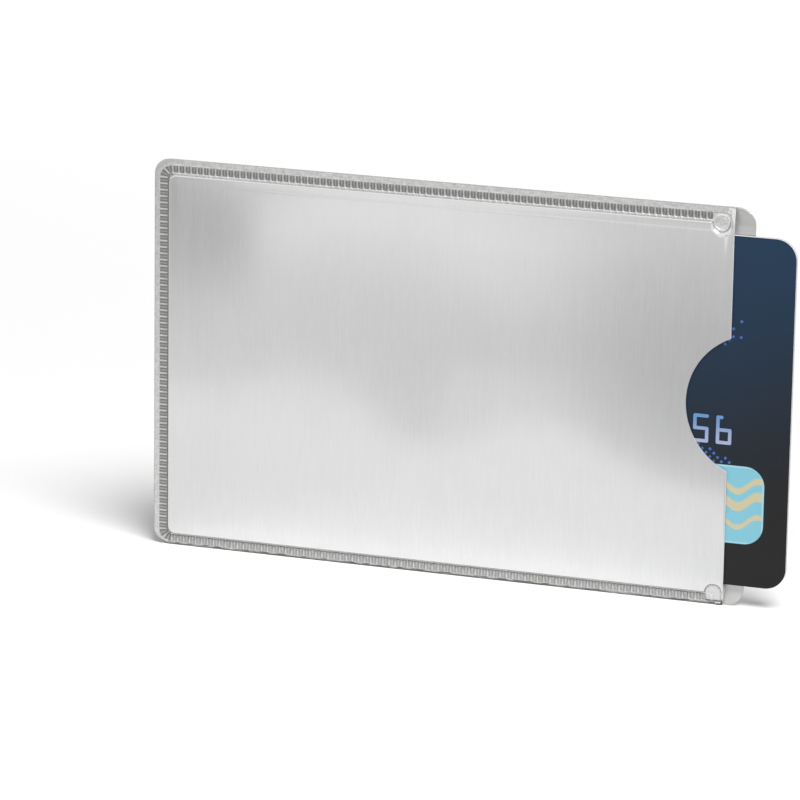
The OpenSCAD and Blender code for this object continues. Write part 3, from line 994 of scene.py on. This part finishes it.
def cover_film_material():
    """Metallised film, brushed up the sleeve, melted and duller along the seam with painted shade in its
    cells and crease, pale at its cut edges.
    """
    made, tree, inputs = material("cover_film", metallic=1.0, roughness=0.34)
    streaks = use_group(tree, BRUSHED, Contrast=1.0)
    mottle = use_group(tree, GRAIN, Size=FILM_GRAIN)
    seam = attribute(tree, "seam")
    pressed = attribute(tree, "pressed")
    cut = attribute(tree, "cut")
    clouds = calc(tree, "SUBTRACT", mottle["Mask"], 0.5)
    cloudy = calc(tree, "MULTIPLY_ADD", clouds, CLOUD_SHARE, streaks["Mask"])
    clouded = ramp(tree, cloudy, *CLOUD_RANGE)
    bright = mix(tree, clouded, srgb(231, 231, 232), srgb(239, 239, 239))
    rim = mix(tree, noise_step(tree, mottle["Height"]), srgb(212, 212, 211), srgb(230, 230, 229))
    melted = mix(tree, seam, bright, rim)
    # Dull melted film, with painted shade darkest in the seam's sunken cells and the closed end's crease
    dull_and_shaded = mix(tree, pressed, melted, srgb(138, 137, 135))
    feed(tree, inputs["Base Color"], mix(tree, cut, dull_and_shaded, srgb(255, 254, 250)))
    feed(tree, inputs["Metallic"], ramp(tree, cut, 0.0, 1.0, 1.0, CUT_METALLIC))
    rough = noise_step(tree, streaks["Mask"], *FILM_ROUGHNESS)
    feed(tree, inputs["Roughness"], calc(tree, "MULTIPLY_ADD", seam, MELTED_ROUGHNESS, rough))
    melt_grain = times(tree, mottle["Height"], seam)
    height = calc(tree, "MULTIPLY_ADD", melt_grain, MELTED_GRAIN, streaks["Height"])
    feed(tree, inputs["Normal"], bump(tree, height, FILM_BUMP))
    return made


def weld_spot_material():
    """The same film where a round tool has melted it: crinkled like leather."""
    made, tree, inputs = material("weld_spot", metallic=1.0, roughness=0.36)
    crinkle = grained(tree, inputs, 0.35, 0.05)
    tone = noise_step(tree, crinkle["Height"])
    feed(tree, inputs["Base Color"], mix(tree, tone, srgb(215, 215, 214), srgb(238, 238, 237)))
    return made


COVER_FILM = cover_film_material()
FOIL = plain_plastic("shield_foil", srgb(215, 215, 216), 0.35, spread=0.04)
LINING = plain_plastic("lining", srgb(214, 214, 213), 0.34, spread=0.03, size=0.15, depth=0.002, metallic=0.6)
WELD = plain_plastic("weld", srgb(204, 204, 202), 0.45, spread=0.1, size=0.25, depth=0.01)
SPOT = weld_spot_material()
CORE = plain_plastic("card_core", srgb(240, 240, 238), 0.5, spread=0.03)
INLAY = plain_plastic("card_inlay", srgb(236, 234, 226), 0.55, spread=0.03)
COPPER = plain_plastic("antenna_copper", srgb(214, 140, 105), 0.3, spread=0.1)
TAPE = plain_plastic("chip_tape", srgb(146, 138, 100), 0.5, spread=0.1)
RESIN = plain_plastic("chip_resin", srgb(32, 32, 32), 0.35, spread=0.1)
STRIPE = plain_plastic("magnetic_stripe", srgb(33, 30, 29), 0.35, spread=0.1)
SIGN_PANEL = plain_plastic("signature_panel", srgb(232, 232, 226), 0.7, spread=0.04)


def card_place(tree):
    """Place on the card in millimetres, across and up."""
    across, _, up_it = split(tree, object_place(tree))
    return across, up_it


# Strewn diamonds: their pitch, and their half width as a share of it
DIAMOND_PITCH = 0.86
DIAMOND_HALF = 0.23
# The two bands they lie in: height at the middle of the sleeve, and slope
BANDS = ((24.5, 0.4), (39.5, -0.4))
BAND_HALF = 1.9
BAND_CORE = 0.4
# The bands thin out to the right, from the share of places that they fill to none
BAND_FILL = 0.9
BAND_END = (44.5, 47.5)


def band_mask(tree, x, z, middle, slope):
    """One along a slanted line, falling off to both sides."""
    line = calc(tree, "MULTIPLY_ADD", x, -slope, calc(tree, "SUBTRACT", z, middle))
    return ramp(tree, calc(tree, "ABSOLUTE", line), BAND_HALF * BAND_CORE, BAND_HALF, 1.0, 0.0)


def diamond_mask(tree, x, z):
    """Small diamonds strewn along two slanted bands, thinning out to the bands' sides."""
    turned = add_node(tree, "Mapping", Vector=add_node(tree, "CombineXYZ", x, z),
                      Rotation=(0, 0, math.pi / 4), Scale=[1 / DIAMOND_PITCH] * 3)
    cell = add_node(tree, "VectorMath", turned, operation="FLOOR")
    chance = add_node(tree, "TexWhiteNoise", cell)
    chance.noise_dimensions = "2D"
    local = add_node(tree, "VectorMath", turned, operation="FRACTION")
    off = [calc(tree, "ABSOLUTE", calc(tree, "SUBTRACT", part, 0.5))
           for part in split(tree, local)[:2]]
    inside = calc(tree, "LESS_THAN", calc(tree, "MAXIMUM", *off), DIAMOND_HALF)
    # A diamond is drawn or left out whole, by the place of its middle
    cell_x, cell_y, _ = split(tree, cell)
    reach = DIAMOND_PITCH * math.cos(math.pi / 4)
    x = calc(tree, "MULTIPLY_ADD", calc(tree, "ADD", cell_x, cell_y), reach, reach)
    z = times(tree, calc(tree, "SUBTRACT", cell_y, cell_x), reach)
    bands = calc(tree, "MAXIMUM", *[band_mask(tree, x, z, *band) for band in BANDS])
    bands = times(tree, bands, ramp(tree, x, *BAND_END, BAND_FILL, 0.0))
    drawn = calc(tree, "LESS_THAN", chance.outputs["Value"], bands)
    return times(tree, inside, drawn)


# The print's change of colour: its slant, and how far above the card's lower and upper edges it starts
# and ends
FADE_SLANT = 0.35
FADE_FROM = 10
FADE_PAST = 5
PRINT_GRAIN = 0.12
PRINT_DEPTH = 0.001


def card_print_material():
    """Satin print: grey at the bottom, turning navy towards the top, with strewn blue diamonds."""
    made, tree, inputs = material("card_front_print", roughness=0.42, specular=0.35)
    x, z = card_place(tree)
    from_mouth = calc(tree, "SUBTRACT", card_high.x / MM, x)
    slanted = calc(tree, "MULTIPLY_ADD", from_mouth, FADE_SLANT, z)
    fade = ramp(tree, slanted, CARD_BOTTOM + FADE_FROM, CARD_TOP + FADE_PAST)
    ground = mix(tree, fade, srgb(24, 24, 24), srgb(24, 57, 86))
    feed(tree, inputs["Base Color"], mix(tree, diamond_mask(tree, x, z), ground, srgb(66, 120, 196)))
    grained(tree, inputs, PRINT_GRAIN, PRINT_DEPTH)
    return made


CARD_FRONT = card_print_material()
CARD_BACK = plain_plastic("card_back_print", srgb(34, 42, 54), 0.42, spread=0.05, size=PRINT_GRAIN,
                          depth=PRINT_DEPTH)


def gold_material():
    """Gold plate of the contacts, a little cloudy."""
    made, tree, inputs = material("contact_gold", metallic=1.0, roughness=0.25)
    grain = use_group(tree, GRAIN, Size=0.3)
    feed(tree, inputs["Base Color"], mix(tree, grain["Mask"], srgb(222, 186, 110), srgb(236, 205, 135)))
    return made


def digit_material():
    """Print that turns from a pale violet at the bottom of the digits to blue at their top."""
    made, tree, inputs = material("digit_print", roughness=0.4)
    _, z = card_place(tree)
    digits_low, digits_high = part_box("card_number_digits")
    fade = ramp(tree, z, digits_low.z / MM, digits_high.z / MM)
    feed(tree, inputs["Base Color"], mix(tree, fade, srgb(183, 193, 234), srgb(108, 163, 218)))
    grained(tree, inputs, PRINT_GRAIN, PRINT_DEPTH)
    return made


PATCH_BORDER = 0.28
# The fine lines' turn to the millimetre, and the part of it that is light
LINE_TURN = 16.0
LINE_RANGE = (0.3, 0.9)
WAVE_LENGTH = 6.5
WAVE_HEIGHT = 0.9
# Each wave's height over the patch's middle, its half width, and where in that it starts to fade
CREAM_WAVES = ((3.0, 0.55), (0.6, 0.8), (-2.6, 0.45))
WAVE_CORE = 0.85


def patch_material():
    """Pale blue foil with a lighter border, fine slanted lines and three cream waves."""
    made, tree, inputs = material("patch_foil", roughness=0.38)
    x, z = card_place(tree)
    low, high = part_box("card_security_patch")
    middle, half = (low + high) / 2 / MM, (high - low) / 2 / MM
    across = calc(tree, "SUBTRACT", x, middle.x)
    above = calc(tree, "SUBTRACT", z, middle.z)
    slant = calc(tree, "SINE", times(tree, calc(tree, "ADD", across, above), LINE_TURN))
    lines = ramp(tree, slant, *LINE_RANGE)
    colour = mix(tree, lines, srgb(140, 214, 234), srgb(154, 222, 240))
    sway = calc(tree, "SINE", times(tree, across, 2 * math.pi / WAVE_LENGTH))
    swayed = calc(tree, "SUBTRACT", above, times(tree, sway, WAVE_HEIGHT))
    for level, width in CREAM_WAVES:
        off = calc(tree, "ABSOLUTE", calc(tree, "SUBTRACT", swayed, level))
        wave = ramp(tree, off, width * WAVE_CORE, width, 1.0, 0.0)
        colour = mix(tree, wave, colour, srgb(226, 216, 176))
    past = [calc(tree, "SUBTRACT", calc(tree, "ABSOLUTE", off), reach - PATCH_BORDER)
            for off, reach in ((across, half.x), (above, half.z))]
    border = calc(tree, "GREATER_THAN", calc(tree, "MAXIMUM", *past), 0.0)
    feed(tree, inputs["Base Color"], mix(tree, border, colour, srgb(178, 232, 246)))
    grained(tree, inputs, 0.2, 0.002)
    return made


GOLD = gold_material()
DIGITS = digit_material()
PATCH = patch_material()


# Sheets

def make_sheet(side, length, corner_r, front):
    """Cover film with its seam, foil and lining of one sheet. The front one has the thumb notch."""
    cover = film(side + "_panel", length, 0.0, 0.0, COVER_T, corner_r, COVER_TRIM if front else 0.0)
    foil = film(side + "_shield_sheet", length, INNER_START, COVER_T, FOIL_T, corner_r, INNER_TRIM)
    lining = film(side + "_lining_sheet", length, INNER_START, COVER_T + FOIL_T, LINING_T, corner_r,
                  INNER_TRIM)
    if front:
        for layer in (cover, foil, lining):
            cut_notch(layer)
        mark_cut_edges(cover, length)
    seam = knurl_row(side + "_seam", FRONT_CORNERS if front else BACK_CORNERS, front)
    cover = join([cover, seam], side + "_cover_sheet")
    for layer, look, slot, node in ((cover, COVER_FILM, "cover_film", "_cover_film"),
                                    (foil, FOIL, "shield_foil", "_shield_foil"),
                                    (lining, LINING, "lining", "_lining")):
        stand_up(layer, front)
        shade(layer)
        dress(layer, look, "sleeve", slot, side + node)


make_sheet("front", FRONT_L, MOUTH_CORNER_R, True)
make_sheet("back", BACK_L, TAB_CORNER_R, False)

for name, spot, face, crinkle, node in (
        ("top_weld_dimple", TOP_SPOT, top_face, 0.03, "top_mouth_weld_spot"),
        ("bottom_weld_pad", BOTTOM_SPOT, bottom_face, 0.05, "bottom_mouth_weld_spot")):
    piece = weld_spot(name, spot, face, crinkle)
    stand_up(piece, True)
    shade(piece)
    dress(piece, SPOT, "sleeve", "weld_spot", node)

for node, look in (("top_weld", WELD), ("end_weld", WELD), ("bottom_weld", WELD),
                   ("card_front_overlay", CARD_FRONT), ("card_front_core", CORE),
                   ("card_antenna_inlay", INLAY), ("card_antenna_coil", COPPER),
                   ("card_back_core", CORE), ("card_back_overlay", CARD_BACK),
                   ("card_chip_carrier", TAPE), ("card_chip_contacts", GOLD), ("card_chip_capsule", RESIN),
                   ("card_number_digits", DIGITS), ("card_security_patch", PATCH),
                   ("card_magnetic_stripe", STRIPE), ("card_signature_panel", SIGN_PANEL)):
    paint(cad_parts[node].data, look)


# Floor, light and world

FLOOR_SIZE = 6
WHITE = (1, 1, 1, 1)
# Light that is neither seen nor mirrored meets a floor of this tone
BOUNCE_TONE = 0.85

# Painted reflections: only the film's mirror rays see these tones of the floor, so the film shows bright
# close by, a little darker past a broken line, and darker towards both ends of the sleeve. The pairs are
# where a zone starts and ends, in metres.
CLOSE_TONE = 0.75
NEAR_TONE = 0.84
NEAR_RISE = (0.01, 0.08)
# How far in front of the sleeve that line lies, from left to right
NEAR_EDGE = ((-0.0785, 0.0963), (-0.059, 0.107), (-0.023, 0.07), (-0.0077, 0.085), (0.0276, 0.062),
             (0.06, 0.035))
EDGE_BLUR = 0.002
# Painted reflection of a fold of the film: the sharp left end of a lighter zone past that line
FOLD = (-0.0045, -0.001)
FOLD_END = (0.02, 0.034)
FOLD_DEPTH = (0.1, 0.145)
FOLD_REFLECTION_TONE = 0.07
FAR_FLOOR = 0.66
FAR_LEFT = (-0.03, 0.0)
FAR_LEFT_SHARE = 0.8
FAR_END = (0.15, 0.26)
# The zones beside the sleeve slant outwards
SIDE_SLANT = 0.333
RIGHT_SIDE = (0.022, 0.05)
RIGHT_DEPTH = (0.05, 0.12)
RIGHT_TONE = 0.75
LEFT_SIDE = (-0.052, -0.037)
LEFT_DEPTH = (0.125, 0.22)
LEFT_TONE = 0.58
# Painted contact shadow: right under the sleeve the floor that the film mirrors is dark
PAINTED_CONTACT_SHADOW = (0.0012, 0.0022)
PAINTED_CONTACT_SHADOW_TONE = 0.12

# Far behind the sleeve the lamp is weaker, and the floor's glow makes up for it
FLOOR_GLOW = 0.16
GLOW_RISE = 0.25
GLOW_BEHIND = (0.1, 0.7)
BACKDROP = 0.92
AMBIENT = 0.12


def grey(tone):
    return (tone, tone, tone, 1)


def toned(tree, tone, zone, zone_tone):
    """A tone, times another one where a zone's mask is one."""
    return times(tree, tone, calc(tree, "MULTIPLY_ADD", zone, zone_tone - 1, 1.0))


def stage_floor():
    """A white floor. What the camera sees of it away from the shadow is pure white; the film's mirror rays
    see painted reflections and a painted contact shadow on it.
    """
    deselect_all()
    bpy.ops.mesh.primitive_plane_add(size=FLOOR_SIZE, location=(0, 0, 0))
    floor = bpy.context.object
    floor.name = "floor"
    made = bpy.data.materials.new("floor")
    made.use_nodes = True
    tree = made.node_tree
    shader = tree.nodes["Principled BSDF"].inputs
    shader["Roughness"].default_value = 0.9
    shader["Specular IOR Level"].default_value = 0.0
    along, back_it, _ = split(tree, add_node(tree, "TexCoord").outputs["Object"])
    depth = calc(tree, "ABSOLUTE", back_it)
    past_edge = calc(tree, "SUBTRACT", depth, line_value(tree, along, NEAR_EDGE))
    near = ramp(tree, depth, *NEAR_RISE, CLOSE_TONE, NEAR_TONE)
    beside = calc(tree, "MULTIPLY_ADD", depth, SIDE_SLANT, along)
    far = times(tree, ramp(tree, past_edge, -EDGE_BLUR, EDGE_BLUR), ramp(tree, depth, *FAR_END, 1.0, 0.0),
                ramp(tree, beside, *FAR_LEFT, FAR_LEFT_SHARE, 1.0))
    right = times(tree, ramp(tree, beside, *RIGHT_SIDE), ramp(tree, depth, *RIGHT_DEPTH))
    left = times(tree, ramp(tree, beside, *LEFT_SIDE, 1.0, 0.0), ramp(tree, depth, *LEFT_DEPTH))
    fold_reflection = times(tree, ramp(tree, beside, *FOLD), ramp(tree, beside, *FOLD_END, 1.0, 0.0),
                 ramp(tree, depth, *FOLD_DEPTH, 1.0, 0.0))
    # Painted reflections: tones that only the film's mirror rays see
    tone = calc(tree, "MULTIPLY_ADD", far, FAR_FLOOR - NEAR_TONE, near)
    tone = calc(tree, "MULTIPLY_ADD", times(tree, fold_reflection, far), FOLD_REFLECTION_TONE, tone)
    tone = toned(tree, tone, right, RIGHT_TONE)
    tone = toned(tree, tone, left, LEFT_TONE)
    # Painted contact shadow, seen only in the film's reflection
    tone = times(tree, tone, ramp(tree, depth, *PAINTED_CONTACT_SHADOW, PAINTED_CONTACT_SHADOW_TONE, 1.0))
    path = add_node(tree, "LightPath")
    camera_ray, glossy_ray = path.outputs["Is Camera Ray"], path.outputs["Is Glossy Ray"]
    unseen = mix(tree, glossy_ray, grey(BOUNCE_TONE), tone)
    feed(tree, shader["Base Color"], mix(tree, camera_ray, unseen, WHITE))
    shader["Emission Color"].default_value = WHITE
    behind = ramp(tree, back_it, *GLOW_BEHIND, FLOOR_GLOW, FLOOR_GLOW + GLOW_RISE)
    mirrored = times(tree, glossy_ray, tone, FLOOR_GLOW)
    glow = calc(tree, "ADD", times(tree, camera_ray, behind), mirrored)
    feed(tree, shader["Emission Strength"], glow)
    floor.data.materials.append(made)


LAMP_AIM = Vector((0, 0, 0.02))


def soft_light(name, azimuth, elevation, distance, size, power):
    """A square lamp, placed by its direction from the middle of the sleeve."""
    way = way_from(azimuth, elevation)
    bpy.ops.object.light_add(type="AREA", location=LAMP_AIM + way * distance)
    lamp = bpy.context.object
    lamp.name = name
    lamp.data.shape = "SQUARE"
    lamp.data.size = size
    lamp.data.energy = power
    lamp.rotation_euler = way.to_track_quat("Z", "Y").to_euler()


def studio_world():
    """A white backdrop for the camera, a pale one in the film, and a little light from all round."""
    world = bpy.context.scene.world or bpy.data.worlds.new("studio")
    bpy.context.scene.world = world
    world.use_nodes = True
    tree = world.node_tree
    ground = tree.nodes["Background"]
    path = add_node(tree, "LightPath")
    unseen = mix(tree, path.outputs["Is Glossy Ray"], grey(AMBIENT), grey(BACKDROP))
    feed(tree, ground.inputs["Color"], mix(tree, path.outputs["Is Camera Ray"], unseen, WHITE))
    ground.inputs["Strength"].default_value = 1.0


stage_floor()
studio_world()
soft_light("key", azimuth=42, elevation=57, distance=5.0, size=2.4, power=236)

bpy.context.scene.view_settings.view_transform = "Standard"

bpy.context.view_layer.update()
